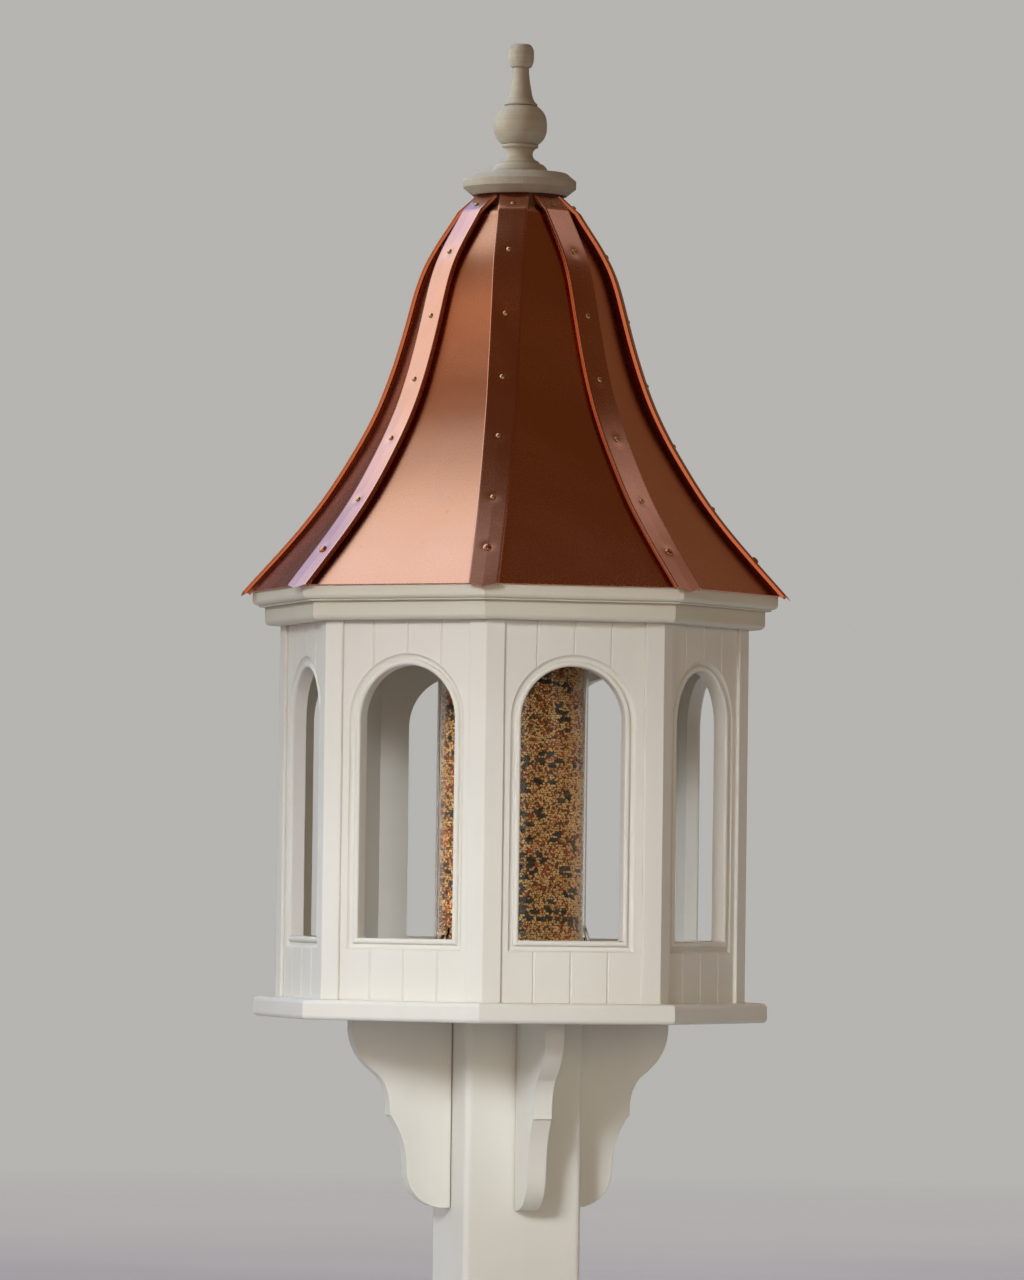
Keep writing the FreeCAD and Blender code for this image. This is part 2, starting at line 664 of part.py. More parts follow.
def lid_plug():
    plug = Part.makeCylinder(CROWN_HOLE_R - PLUG_GAP, PLUG_THICK, V(0, 0, LID_Z - PLUG_THICK))
    plug = plug.makeChamfer(PLUG_CHAMFER, edges_at(plug, LID_Z - PLUG_THICK))
    return plug.cut(Part.makeCylinder(STUD_R, STUD_DEPTH, V(0, 0, LID_Z - STUD_DEPTH)))


def finial():
    """The turned finial, standing on the lid: (radius, height)."""
    outline = chain([(0, STUD_REACH), (STUD_R, STUD_REACH), (STUD_R, 0), (22.4, 0)])
    outline += [arc((22.4, 0), (23.3, 2.4), (22.5, 4.8)),
                smooth([(22.5, 4.8), (20.4, 7.0), (16.6, 8.7)]),
                arc((16.6, 8.7), (16.1, 10.0), (15.0, 10.8)),
                smooth([(15.0, 10.8), (11.9, 13.0), (10.6, 16.6), (11.6, 19.8), (14.2, 21.7)]),
                arc((14.2, 21.7), (15.4, 23.2), (14.8, 24.8)),
                smooth([(14.8, 24.8), (20.0, 29.8), (22.1, 35.4), (22.4, 41.0), (20.6, 50.2),
                        (17.7, 54.2), (14.4, 57.0)])]
    outline += chain([(14.4, 57.0), (13.2, 57.6)])
    outline += [arc((13.2, 57.6), (14.2, 58.4), (13.4, 59.4)),
                smooth([(13.4, 59.4), (10.9, 62.9), (8.9, 70.6), (7.6, 77.5), (6.8, 84.5),
                        (6.6, 89.9)])]
    outline += chain([(6.6, 89.9), (8.4, 90.2)])
    outline += [smooth([(8.4, 90.2), (10.3, 94.8), (10.7, 100.8), (9.8, 106.5), (7.0, 109.7)])]
    outline += chain([(7.0, 109.7), (0, 110.0), (0, STUD_REACH)])
    turned_piece = lathe(outline)
    turned_piece.translate(V(0, 0, FINIAL_Z))
    return turned_piece


def finial_stud():
    low = LID_Z - STUD_DEPTH
    return Part.makeCylinder(STUD_R, FINIAL_Z + STUD_REACH - low, V(0, 0, low))


# ---- screws -------------------------------------------------------------------------------

def sleeve_screws():
    """Through the sleeve into the block, behind the brackets."""
    z = FLOOR_Z - BLOCK_HEIGHT / 2
    screw = countersunk_screw(SLEEVE_SCREW, V(SLEEVE_WIDTH / 2, 0, z), V(-1, 0, 0))
    return Part.makeCompound([turned(screw, BRACKET_STEP * i) for i in range(4)])


def bracket_screws():
    """Down through the floor into the top edge of each bracket."""
    at = [V(SLEEVE_WIDTH / 2 + reach, 0, WALL_Z) for reach in BRACKET_SCREW_AT]
    screws = [countersunk_screw(BRACKET_SCREW, point, V(0, 0, -1)) for point in at]
    return Part.makeCompound([turned(s, BRACKET_STEP * i) for s in screws for i in range(4)])


def block_screws():
    """Down through the floor into the mounting block, inside the tube's foot."""
    return screw_ring(4, BRACKET_STEP / 2, BLOCK_SCREW_CIRCLE, WALL_Z, BLOCK_SCREW, V(0, 0, -1))


def wall_foot_screws():
    """Up through the floor into the bottom edge of each panel, two a panel."""
    middle = (PANEL_FACE + PANEL_BACK) / 2
    screws = [countersunk_screw(WALL_SCREW, V(middle, y, FLOOR_Z), UP) for y in WALL_SCREW_AT]
    return Part.makeCompound([turned(s, STEP * i) for s in screws for i in range(SIDES)])


def wall_head_screws():
    """Down through the ceiling board into the top edge of each panel."""
    middle = (PANEL_FACE + PANEL_BACK) / 2
    screws = [countersunk_screw(WALL_SCREW, V(middle, y, ROOF_BASE_Z), V(0, 0, -1))
              for y in WALL_SCREW_AT]
    return Part.makeCompound([turned(s, STEP * i) for s in screws for i in range(SIDES)])


def roof_screws():
    """Up through the ceiling board into the roof base."""
    return screw_ring(SIDES, STEP / 2, ROOF_SCREW_CIRCLE, CEILING_Z, ROOF_SCREW, UP)


def rib_screws():
    """Up through the roof base into the foot of each rib."""
    foot = offset_points(-CAP_STAND - SHEET - RIB_DEPTH / 2)[0][0]
    return screw_ring(SIDES, STEP / 2, foot - RIB_SCREW_INSET, ROOF_BASE_Z, RIB_SCREW, UP)


# ---- assembly -----------------------------------------------------------------------------

def drilled(shape, *groups):
    """shape with the holes of the screws that pass through it."""
    for group in groups:
        for screw in group.Solids:
            if shape.BoundBox.intersect(screw.BoundBox):
                shape = shape.cut(screw)
    return shape


def build():
    """Every node by name."""
    screws = {"sleeve_screws": sleeve_screws(), "bracket_screws": bracket_screws(),
              "block_screws": block_screws(), "wall_foot_screws": wall_foot_screws(),
              "wall_head_screws": wall_head_screws(), "roof_screws": roof_screws(),
              "rib_screws": rib_screws()}
    holes = Part.makeCompound([round_the_roof(pin_hole(PIN_LENGTH), PIN_HEIGHTS),
                               round_the_roof(pin_hole(RIVET_LENGTH), [RIVET_HEIGHT])])
    nodes = dict(screws)
    nodes["ridge_pins"] = round_the_roof(domed_pin(PIN_HEAD_R, PIN_HEAD_H, PIN_LENGTH),
                                         PIN_HEIGHTS)
    nodes["eave_rivets"] = round_the_roof(domed_pin(RIVET_HEAD_R, RIVET_HEAD_H, RIVET_LENGTH),
                                          [RIVET_HEIGHT])

    nodes["post_sleeve"] = drilled(post_sleeve(), screws["sleeve_screws"])
    nodes["mounting_block"] = drilled(mounting_block(), screws["sleeve_screws"],
                                      screws["block_screws"])
    plain_bracket = drilled(bracket(), screws["bracket_screws"])
    for i in range(4):
        nodes["bracket_%d" % (i + 1)] = turned(plain_bracket, BRACKET_STEP * i)

    nodes["floor_board"] = drilled(floor_board(), screws["bracket_screws"],
                                   screws["block_screws"], screws["wall_foot_screws"])
    panel = drilled(wall_panel(), screws["wall_foot_screws"], screws["wall_head_screws"])
    trim = corner_trim()
    for i in range(SIDES):
        nodes["wall_panel_%d" % (i + 1)] = turned(panel, STEP * i)
        nodes["corner_trim_%d" % (i + 1)] = turned(trim, STEP * i)
    nodes["ceiling_board"] = drilled(ceiling_board(), screws["wall_head_screws"],
                                     screws["roof_screws"])
    nodes["roof_base_board"] = drilled(roof_base_board(), screws["roof_screws"],
                                       screws["rib_screws"])

    sheet = drilled(roof_panel(), holes)
    cap = drilled(ridge_cap(), holes)
    for i in range(SIDES):
        nodes["roof_panel_%d" % (i + 1)] = turned(sheet, STEP * i)
        nodes["ridge_cap_%d" % (i + 1)] = turned(cap, STEP * i)
    nodes["roof_ribs"] = Part.makeCompound(
        [drilled(rib, screws["rib_screws"], holes) for rib in roof_ribs().Solids])
    nodes["crown_ring"] = drilled(crown_ring(), holes)

    nodes["seed_tube"] = seed_tube()
    nodes["outlet_hoods"] = outlet_hoods()
    nodes["seed_cone"] = seed_cone()
    nodes["seed_fill"] = seed_fill()

    nodes["lid_disc"] = lid_disc()
    nodes["lid_plug"] = lid_plug()
    nodes["finial"] = finial()
    nodes["finial_stud"] = finial_stud()
    return nodes


def main():
    os.makedirs("parts", exist_ok=True)
    for name, shape in sorted(build().items()):
        if not shape.isValid():
            raise SystemExit("invalid shape: " + name)
        shape.exportStep("parts/%s.step" % name)
        print("%-18s solids %2d  volume %10.0f" % (name, len(shape.Solids), shape.Volume))


main()
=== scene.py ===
# Looks of the post-mounted gazebo feeder: bent copper roof, white vinyl body, clear tube of mixed
# seed, turned finial. Metres, in the frame of the CAD model.

import json
import math

import bpy
import numpy as np
from mathutils import Matrix, Vector, noise


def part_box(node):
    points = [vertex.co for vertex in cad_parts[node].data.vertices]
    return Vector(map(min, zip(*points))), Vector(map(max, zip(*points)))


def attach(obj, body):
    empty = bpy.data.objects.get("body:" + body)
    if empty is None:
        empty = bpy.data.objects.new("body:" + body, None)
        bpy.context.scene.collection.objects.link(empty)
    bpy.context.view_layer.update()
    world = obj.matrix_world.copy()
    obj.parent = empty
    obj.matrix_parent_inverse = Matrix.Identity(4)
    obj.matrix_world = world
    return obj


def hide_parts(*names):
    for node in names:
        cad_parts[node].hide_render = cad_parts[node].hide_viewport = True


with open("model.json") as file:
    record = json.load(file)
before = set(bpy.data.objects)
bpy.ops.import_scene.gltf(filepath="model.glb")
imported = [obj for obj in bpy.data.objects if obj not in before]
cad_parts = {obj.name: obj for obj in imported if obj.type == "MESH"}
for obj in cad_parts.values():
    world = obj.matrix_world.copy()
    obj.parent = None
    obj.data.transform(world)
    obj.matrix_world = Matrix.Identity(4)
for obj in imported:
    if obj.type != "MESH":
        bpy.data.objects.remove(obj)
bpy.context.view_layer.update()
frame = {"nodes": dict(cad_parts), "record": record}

MM = 0.001
SIDES = 8
STEP = 2 * math.pi / SIDES
HALF = STEP / 2
rng = np.random.default_rng(7)

FLOOR_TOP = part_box("floor_board")[1].z
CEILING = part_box("ceiling_board")[0].z
EAVE_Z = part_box("roof_base_board")[1].z


# ---- meshes -------------------------------------------------------------------------------

def new_object(name, verts, faces, materials, crease=math.radians(35)):
    """A linked mesh object, smooth except at creases."""
    mesh = bpy.data.meshes.new(name)
    mesh.from_pydata([tuple(v) for v in verts], [], faces)
    mesh.polygons.foreach_set("use_smooth", [True] * len(mesh.polygons))
    mesh.set_sharp_from_angle(angle=crease)
    for material in materials:
        mesh.materials.append(material)
    mesh.validate()
    mesh.update()
    obj = bpy.data.objects.new(name, mesh)
    bpy.context.scene.collection.objects.link(obj)
    return obj


def stand_for(obj, body, slot, *nodes):
    """obj rides on body and hides the CAD nodes that it stands for; slot is not used."""
    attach(obj, body)
    if nodes:
        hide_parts(*nodes)
    return obj


def shell_faces(rows, columns):
    """Faces of a thin sheet: an outer rows x columns lattice, an inner one after it, and the rim."""
    count = rows * columns
    outer = [(i * columns + j, i * columns + j + 1, (i + 1) * columns + j + 1, (i + 1) * columns + j)
             for i in range(rows - 1) for j in range(columns - 1)]
    inner = [tuple(count + v for v in reversed(face)) for face in outer]
    rim = (list(range(columns))
           + [i * columns + columns - 1 for i in range(1, rows)]
           + [(rows - 1) * columns + j for j in range(columns - 2, -1, -1)]
           + [i * columns for i in range(rows - 2, 0, -1)])
    edge = [(a, count + a, count + b, b) for a, b in zip(rim, rim[1:] + rim[:1])]
    return outer + inner + edge


def turned(points, angle):
    """Points turned about the Z axis."""
    c, s = math.cos(angle), math.sin(angle)
    points = np.asarray(points, float)
    x, y = points[:, 0] * c - points[:, 1] * s, points[:, 0] * s + points[:, 1] * c
    return np.column_stack([x, y, points[:, 2]])


def unit(vector):
    return vector / np.linalg.norm(vector)


def circle(radius, height, around):
    """around points of a level circle about the Z axis."""
    return [(radius * math.cos(2 * math.pi * k / around),
             radius * math.sin(2 * math.pi * k / around), height) for k in range(around)]


def wave(points, wavelength, seed):
    """Smooth noise from -1 to 1 at each point."""
    return np.array([noise.noise(Vector(p) / wavelength + Vector((seed, 0, 0))) for p in points])


def spline(points, count):
    """count points and unit tangents along a smooth curve through points (not-a-knot cubic)."""
    p = np.asarray(points, float)
    t = np.concatenate([[0], np.cumsum(np.linalg.norm(np.diff(p, axis=0), axis=1))])
    n, h = len(p), np.diff(t)
    a, b = np.zeros((n, n)), np.zeros((n, p.shape[1]))
    for i in range(1, n - 1):
        a[i, i - 1:i + 2] = h[i - 1], 2 * (h[i - 1] + h[i]), h[i]
        b[i] = 6 * ((p[i + 1] - p[i]) / h[i] - (p[i] - p[i - 1]) / h[i - 1])
    a[0, :3] = h[1], -(h[0] + h[1]), h[0]
    a[-1, -3:] = h[-1], -(h[-2] + h[-1]), h[-2]
    m = np.linalg.solve(a, b)
    u = np.linspace(0, t[-1], count)
    k = np.clip(np.searchsorted(t, u, side="right") - 1, 0, n - 2)
    w, g = (u - t[k])[:, None], h[k][:, None]
    c1 = (p[k + 1] - p[k]) / g - g * (2 * m[k] + m[k + 1]) / 6
    value = p[k] + c1 * w + m[k] / 2 * w ** 2 + (m[k + 1] - m[k]) / (6 * g) * w ** 3
    slope = c1 + m[k] * w + (m[k + 1] - m[k]) / (2 * g) * w ** 2
    return value, slope / np.linalg.norm(slope, axis=1)[:, None]


# ---- node materials -----------------------------------------------------------------------

class Shader:
    """A material under construction: short calls that add and link nodes."""

    def __init__(self, name, **sockets):
        self.material = bpy.data.materials.new(name)
        self.material.use_nodes = True
        self.tree = self.material.node_tree
        self.bsdf = self.tree.nodes["Principled BSDF"]
        self.coords = self.tree.nodes.new("ShaderNodeTexCoord").outputs["Object"]
        for socket, value in sockets.items():
            self.bsdf.inputs[socket.replace("_", " ")].default_value = value

    def feed(self, socket, value):
        """Links value to the socket if it is an output, and else sets it."""
        if isinstance(value, bpy.types.NodeSocket):
            self.tree.links.new(value, socket)
        else:
            socket.default_value = value

    def node(self, kind, **inputs):
        new = self.tree.nodes.new(kind)
        for key, value in inputs.items():
            self.feed(new.inputs[key.replace("_", " ")], value)
        return new

    def stretched(self, scale):
        """Object coordinates scaled along each axis."""
        return self.node("ShaderNodeMapping", Vector=self.coords, Scale=scale).outputs[0]

    def noise(self, scale, detail=4.0, rough=0.5, stretch=(1, 1, 1), warp=0.0):
        """A noise value from 0 to 1; scale is in cycles per metre."""
        return self.node("ShaderNodeTexNoise", Vector=self.stretched(stretch), Scale=scale,
                         Detail=detail, Roughness=rough, Distortion=warp).outputs[0]

    def ramp(self, value, *stops):
        """Colours by value: stops are (position, colour)."""
        node = self.node("ShaderNodeValToRGB", Fac=value)
        elements = node.color_ramp.elements
        while len(elements) < len(stops):
            elements.new(0.5)
        for element, (position, colour) in zip(elements, stops):
            element.position = position
            element.color = (*colour, 1)
        return node.outputs[0]

    def span(self, value, low, high, out_low, out_high):
        """value mapped from one range to another, clamped."""
        node = self.tree.nodes.new("ShaderNodeMapRange")
        self.tree.links.new(value, node.inputs[0])
        for i, number in enumerate((low, high, out_low, out_high)):
            node.inputs[i + 1].default_value = number
        return node.outputs[0]

    def math(self, operation, a, b):
        node = self.tree.nodes.new("ShaderNodeMath")
        node.operation = operation
        for socket, value in zip(node.inputs, (a, b)):
            self.feed(socket, value)
        return node.outputs[0]

    def mix(self, share, first, second, blend="MIX"):
        """A blend of two colours."""
        node = self.tree.nodes.new("ShaderNodeMix")
        node.data_type = "RGBA"
        node.blend_type = blend
        self.feed(node.inputs[0], share)
        for socket, colour in ((node.inputs[6], first), (node.inputs[7], second)):
            self.feed(socket, (*colour, 1) if isinstance(colour, tuple) else colour)
        return node.outputs[2]

    def crevices(self, reach):
        """0 in tight corners, 1 in the open."""
        return self.node("ShaderNodeAmbientOcclusion", Distance=reach).outputs["AO"]

    def set(self, socket, value):
        self.tree.links.new(value, self.bsdf.inputs[socket])

    def bump(self, height, distance, strength=1.0, under=None):
        """A bump in metres on the shader, over an earlier normal."""
        node = self.node("ShaderNodeBump", Height=height, Distance=distance, Strength=strength)
        if under is not None:
            self.tree.links.new(under, node.inputs["Normal"])
        self.set("Normal", node.outputs[0])
        return node.outputs[0]


def vinyl_material(name, tint=(1.0, 1.0, 1.0), corner_shade=0.22, joint_shade=0.75):
    """Satin white vinyl: faint clouds, painted shade in corners and joints, rounded arrises."""
    s = Shader(name, Specular_IOR_Level=0.5)
    cloud = s.noise(9, 4)
    streak = s.noise(30, 3, stretch=(1, 1, 0.08))
    tone = s.ramp(cloud, (0.3, (0.755, 0.755, 0.672)), (0.7, (0.795, 0.795, 0.718)))
    tone = s.mix(s.span(streak, 0.5, 0.85, 0.0, 0.3), tone, (0.72, 0.71, 0.60))
    # painted shade: the tone darkens towards brown where nearby surfaces shut in a corner
    crevice_shade = s.span(s.crevices(6 * MM), 0.3, 0.85, corner_shade, 0.0)
    tone = s.mix(crevice_shade, tone, (0.50, 0.45, 0.36))
    if joint_shade:
        # painted shade: a dark line in the narrow gaps where parts meet
        joint = s.span(s.crevices(1 * MM), 0.30, 0.62, joint_shade, 0.0)
        tone = s.mix(joint, tone, (0.13, 0.10, 0.07))
    s.set("Base Color", s.mix(1.0, tone, tint, "MULTIPLY"))
    s.set("Roughness", s.span(s.noise(70, 5), 0.3, 0.7, 0.38, 0.50))
    soft = s.node("ShaderNodeBevel", Radius=0.8 * MM)
    soft.samples = 4
    s.bump(s.noise(260, 4, 0.6), 0.06 * MM, 0.5, under=soft.outputs[0])
    return s.material


def copper_material(name, light, dark, seed):
    """Satin copper sheet: soft mill streaks, faint clouds and spots, a slight unevenness."""
    s = Shader(name, Metallic=1.0)
    offset = seed * 3.7
    mapping = s.node("ShaderNodeMapping", Vector=s.coords, Location=(offset, offset, offset))
    s.coords = mapping.outputs[0]
    cloud = s.noise(7, 5, 0.55, warp=0.6)
    mill = s.noise(1100, 2, stretch=(1, 1, 0.02))
    tone = s.ramp(cloud, (0.30, dark), (0.72, light))
    blush = s.noise(16, 3, warp=1.2)
    tone = s.mix(s.span(blush, 0.55, 0.8, 0.0, 0.25), tone, (0.72, 0.38, 0.32))
    spots = s.noise(130, 1, 0.5)
    tone = s.mix(s.span(spots, 0.76, 0.82, 0.0, 0.3), tone, (0.48, 0.20, 0.11))
    s.set("Base Color", tone)
    rough = s.math("ADD", s.span(cloud, 0.3, 0.7, 0.22, 0.29), s.span(mill, 0.3, 0.7, -0.02, 0.03))
    s.set("Roughness", rough)
    wave = s.bump(s.noise(9, 1), 0.35 * MM, 0.5)
    s.bump(mill, 0.004 * MM, 0.4, under=wave)
    return s.material


def brass_material():
    s = Shader("brass", Metallic=1.0)
    s.set("Base Color", s.ramp(s.noise(400, 3), (0.3, (0.74, 0.52, 0.20)), (0.7, (0.95, 0.76, 0.40))))
    s.set("Roughness", s.span(s.noise(900, 3), 0.3, 0.7, 0.22, 0.42))
    s.bump(s.noise(1500, 2), 0.03 * MM, 0.5)
    return s.material


def steel_material():
    s = Shader("steel", Metallic=1.0)
    s.set("Base Color", s.ramp(s.noise(300, 3), (0.3, (0.42, 0.42, 0.43)), (0.7, (0.63, 0.63, 0.62))))
    s.set("Roughness", s.span(s.noise(800, 3), 0.3, 0.7, 0.28, 0.45))
    return s.material


def paint_material():
    """Old off-white paint on turned wood: turning rings, faint grain, painted shade in the grooves."""
    s = Shader("painted_wood", Specular_IOR_Level=0.4)
    cloud = s.noise(45, 5, 0.6)
    tone = s.ramp(cloud, (0.3, (0.44, 0.41, 0.32)), (0.68, (0.56, 0.54, 0.44)))
    grain = s.noise(260, 5, 0.65, stretch=(1, 1, 0.12), warp=0.4)
    tone = s.mix(s.span(grain, 0.55, 0.78, 0.0, 0.5), tone, (0.33, 0.30, 0.24))
    # painted shade: the paint darkens where the turned grooves shut in the light
    crevice_shade = s.span(s.crevices(5 * MM), 0.3, 0.9, 0.75, 0.0)
    tone = s.mix(crevice_shade, tone, (0.20, 0.17, 0.12))
    rings = s.noise(420, 3, stretch=(0.02, 0.02, 1))
    tone = s.mix(s.span(rings, 0.42, 0.66, 0.0, 0.22), tone, (0.34, 0.31, 0.24))
    s.set("Base Color", tone)
    s.set("Roughness", s.span(cloud, 0.3, 0.7, 0.42, 0.62))
    first = s.bump(rings, 0.16 * MM, 0.8)
    s.bump(grain, 0.10 * MM, 0.5, under=first)
    return s.material


# Weathered timber coloured darker still: painted shade for the gaps under the caps and lid where it
# shows
def shaded_timber_material():
    s = Shader("timber", Specular_IOR_Level=0.3)
    grain = s.noise(60, 6, 0.65, stretch=(1, 1, 0.06), warp=1.5)
    s.set("Base Color", s.ramp(grain, (0.3, (0.13, 0.08, 0.045)), (0.7, (0.27, 0.18, 0.10))))
    s.set("Roughness", s.span(grain, 0.3, 0.7, 0.55, 0.75))
    s.bump(grain, 0.3 * MM, 0.6)
    return s.material


def clear_material():
    """Clear polycarbonate that lets lamps through; faint scratches and dust."""
    s = Shader("clear_plastic", Transmission_Weight=1.0, IOR=1.22,
               Base_Color=(0.98, 0.985, 0.975, 1))
    dust = s.noise(35, 5, 0.6)
    s.set("Roughness", s.span(dust, 0.5, 0.8, 0.0, 0.04))
    s.bump(s.noise(300, 3, stretch=(1, 1, 0.05)), 0.004 * MM, 0.3)
    shadow = s.node("ShaderNodeLightPath").outputs["Is Shadow Ray"]
    clear = s.node("ShaderNodeBsdfTransparent", Color=(0.93, 0.94, 0.93, 1))
    mixer = s.node("ShaderNodeMixShader", Fac=shadow)
    s.tree.links.new(s.bsdf.outputs[0], mixer.inputs[1])
    s.tree.links.new(clear.outputs[0], mixer.inputs[2])
    s.tree.links.new(mixer.outputs[0], s.tree.nodes["Material Output"].inputs["Surface"])
    return s.material


def seed_shade_material():
    """The seed behind the outermost grains, coloured dark as painted shade in the gaps between them."""
    s = Shader("seed_shade", Roughness=0.9)
    speck = s.noise(420, 2, 0.6)
    s.set("Base Color", s.ramp(speck, (0.35, (0.05, 0.025, 0.01)), (0.55, (0.14, 0.07, 0.025)),
                               (0.75, (0.28, 0.15, 0.05))))
    s.bump(speck, 1.0 * MM, 1.0)
    return s.material


def grain_material(name, colour, rough):
    """One kind of seed; its own colour and shine, without a pattern on so small a grain."""
    return Shader(name, Base_Color=(*colour, 1), Roughness=rough, Specular_IOR_Level=0.45).material


VINYL = vinyl_material("vinyl")
GROOVED_VINYL = vinyl_material("vinyl_grooved", corner_shade=0.10, joint_shade=0)
# the grooved wall panels get less painted shade in their corners and none in their joints, and the two
# cornice boards, darker in tone, more painted shade in their corners
NODE_VINYL = {"ceiling_board": vinyl_material("vinyl_ceiling", (0.88, 0.865, 0.80), corner_shade=0.6),
              "roof_base_board": vinyl_material("vinyl_roof_base", (0.93, 0.915, 0.85), corner_shade=0.6)}
NODE_VINYL.update({name: GROOVED_VINYL for name in frame["nodes"] if name.startswith("wall_panel")})
COPPER = copper_material("copper", (0.87, 0.44, 0.28), (0.78, 0.36, 0.21), 1)
CAP_COPPER = copper_material("copper_cap", (0.84, 0.43, 0.29), (0.72, 0.33, 0.21), 2)
BRASS = brass_material()
STEEL = steel_material()
PAINT = paint_material()
SHADED_TIMBER = shaded_timber_material()
CLEAR = clear_material()
SEED_SHADE = seed_shade_material()

BY_SLOT = {"vinyl": VINYL, "copper": COPPER, "brass": BRASS, "steel": STEEL, "painted_wood": PAINT,
           "timber": SHADED_TIMBER, "clear_plastic": CLEAR, "seed": SEED_SHADE}
slot_of = {s["node"]: s["material_slot"] for s in frame["record"]["subparts"]}
for node_name, node in frame["nodes"].items():
    for material_slot in node.material_slots:
        material_slot.material = NODE_VINYL.get(node_name, BY_SLOT[slot_of[node_name]])


# ---- copper roof --------------------------------------------------------------------------

# Outside line of the ridge caps: distance from the axis, and height above the roof base.
RIDGE_LINE = np.array([(227.0, 1.9), (201.2, 30.5), (167.6, 71.0), (141.0, 111.4),
                       (119.3, 151.9), (104.2, 192.2), (92.6, 232.6), (80.0, 273.0),
                       (65.6, 298.6), (51.7, 320.2)]) * MM
CAP_TOP_END = np.array((35.6, 334.6)) * MM     # the caps end here, under the lid
CAP_OVERHANG = 9.0 * MM         # past the eave, down the slope
CAP_HALF = 12.7 * MM
CAP_STAND = 3.4 * MM            # height over the panels
CAP_FLANGE = 3.6 * MM
CAP_POINT = 4.7 * MM            # length of the point at the foot
CAP_CREASE = 0.012              # slope of the two halves of a cap away from its middle
CAP_BEND = 1.1 * MM             # radius of the fold down to the flange
CAP_ROWS = 150
SHEET = 0.8 * MM
CAP_SHEET = 0.6 * MM
PANEL_OVERHANG = 1.6 * MM
PANEL_TOP_SHARE = 0.45          # how far the panels follow the run under the lid
PANEL_SEAM = 0.2 * MM
PIN_HEIGHTS = np.array([71.5, 124.0, 174.5, 228.5, 283.5, 325.0]) * MM
RIVET_HEIGHT = 28.5 * MM
DENT_DEPTH = 0.42 * MM          # round each nail
DENT_REACH = 4.2 * MM
SIDE_WOBBLE = 0.16 * MM         # unevenness of the hand-folded edges
LIFT_WOBBLE = 0.12 * MM
PANEL_ROWS, PANEL_COLUMNS = 96, 30
PANEL_BOWS = ((0.10, 11.3, 0.45 * MM), (0.04, 5.1, 0.12 * MM))     # wavelength, seed, height


def ridge_samples(count):
    """Points (distance, height), unit tangents and outward normals up the ridge line."""
    line, tangent = spline(RIDGE_LINE, count)
    normal = np.column_stack([tangent[:, 1], -tangent[:, 0]])
    return line, tangent, normal


def crown_normal():
    """Outward normal of the run from the top of the ridge line to the end under the lid."""
    run = unit(CAP_TOP_END - RIDGE_LINE[-1])
    return np.array([run[1], -run[0]])


def panel_path():
    """Points and normals up a panel, measured on the ridge line, and on over the crown."""
    line, tangent, normal = ridge_samples(PANEL_ROWS)
    top_normal = crown_normal()
    first = line[0] - tangent[0] * PANEL_OVERHANG
    last = line[-1] + (CAP_TOP_END - line[-1]) * PANEL_TOP_SHARE
    middle = unit(normal[-1] + top_normal)
    line = np.vstack([first, line, (line[-1] + last) / 2, last])
    normal = np.vstack([normal[0], normal[:-1], middle, top_normal, top_normal])
    return line, normal


def roof_panel(index):
    """One bent sheet with a little springiness in it, both faces and all edges."""
    line, normal = panel_path()
    across = np.linspace(-1, 1, PANEL_COLUMNS)
    skins = []
    for depth in (0.0, SHEET):
        base = line - normal * (CAP_STAND + depth)
        apothem, height = base[:, 0] * math.cos(HALF), base[:, 1] + EAVE_Z
        half_width = apothem * math.tan(HALF) - PANEL_SEAM
        x = np.repeat(apothem, PANEL_COLUMNS)
        y = (half_width[:, None] * across).ravel()
        skins.append(np.column_stack([x, y, np.repeat(height, PANEL_COLUMNS)]))
    # the sheet bows a little, and lies closer along the eave
    outward = np.column_stack([normal[:, 0], np.zeros(len(line)), normal[:, 1]])
    bow = sum(wave(skins[0], length, seed * index) * height for length, seed, height in PANEL_BOWS)
    bow *= np.repeat(np.clip((line[:, 1] - line[0, 1]) / 0.03, 0.15, 1), PANEL_COLUMNS)
    for skin in skins:
        skin += np.repeat(outward, PANEL_COLUMNS, 0) * bow[:, None]
    obj = new_object("copper_sheet_%d" % (index + 1), turned(np.vstack(skins), index * STEP),
                     shell_faces(len(line), PANEL_COLUMNS), [COPPER])
    return stand_for(obj, "feeder", "copper", "roof_panel_%d" % (index + 1))


def cap_section():
    """Outline of a cap across the ridge, as (sideways, out), from its right flange to its left."""
    fall = CAP_CREASE * (CAP_HALF - CAP_BEND)
    right = [(CAP_HALF, -CAP_FLANGE - fall), (CAP_HALF, -CAP_FLANGE * 0.5 - fall)]
    for step in range(5):
        a = step * math.pi / 8
        right.append((CAP_HALF - CAP_BEND + CAP_BEND * math.cos(a),
                      -fall - CAP_BEND + CAP_BEND * math.sin(a)))
    for share in (0.82, 0.64, 0.48, 0.34, 0.22, 0.12, 0.05):
        right.append((CAP_HALF * share, -CAP_CREASE * CAP_HALF * share))
    left = [(-side, out) for side, out in reversed(right)]
    return np.array(right + [(0.0, 0.0)] + left)


def cap_path():
    """The cap's line from its lower point over the bend to its end under the lid."""
    line, tangent, normal = ridge_samples(CAP_ROWS)
    top_normal = crown_normal()
    foot = [line[0] - tangent[0] * CAP_OVERHANG * share for share in (1.0, 0.5)]
    bend = line[-1]
    top = [bend + (CAP_TOP_END - bend) * share for share in (0.06, 0.3, 0.55, 0.8, 1.0)]
    line = np.vstack(foot + [line[:-1], bend - tangent[-1] * 0.4 * MM] + top)
    normal = np.vstack([normal[0], normal[0], normal[:-1], normal[-1],
                        unit(normal[-1] + top_normal)] + [top_normal] * 4)
    return line, normal


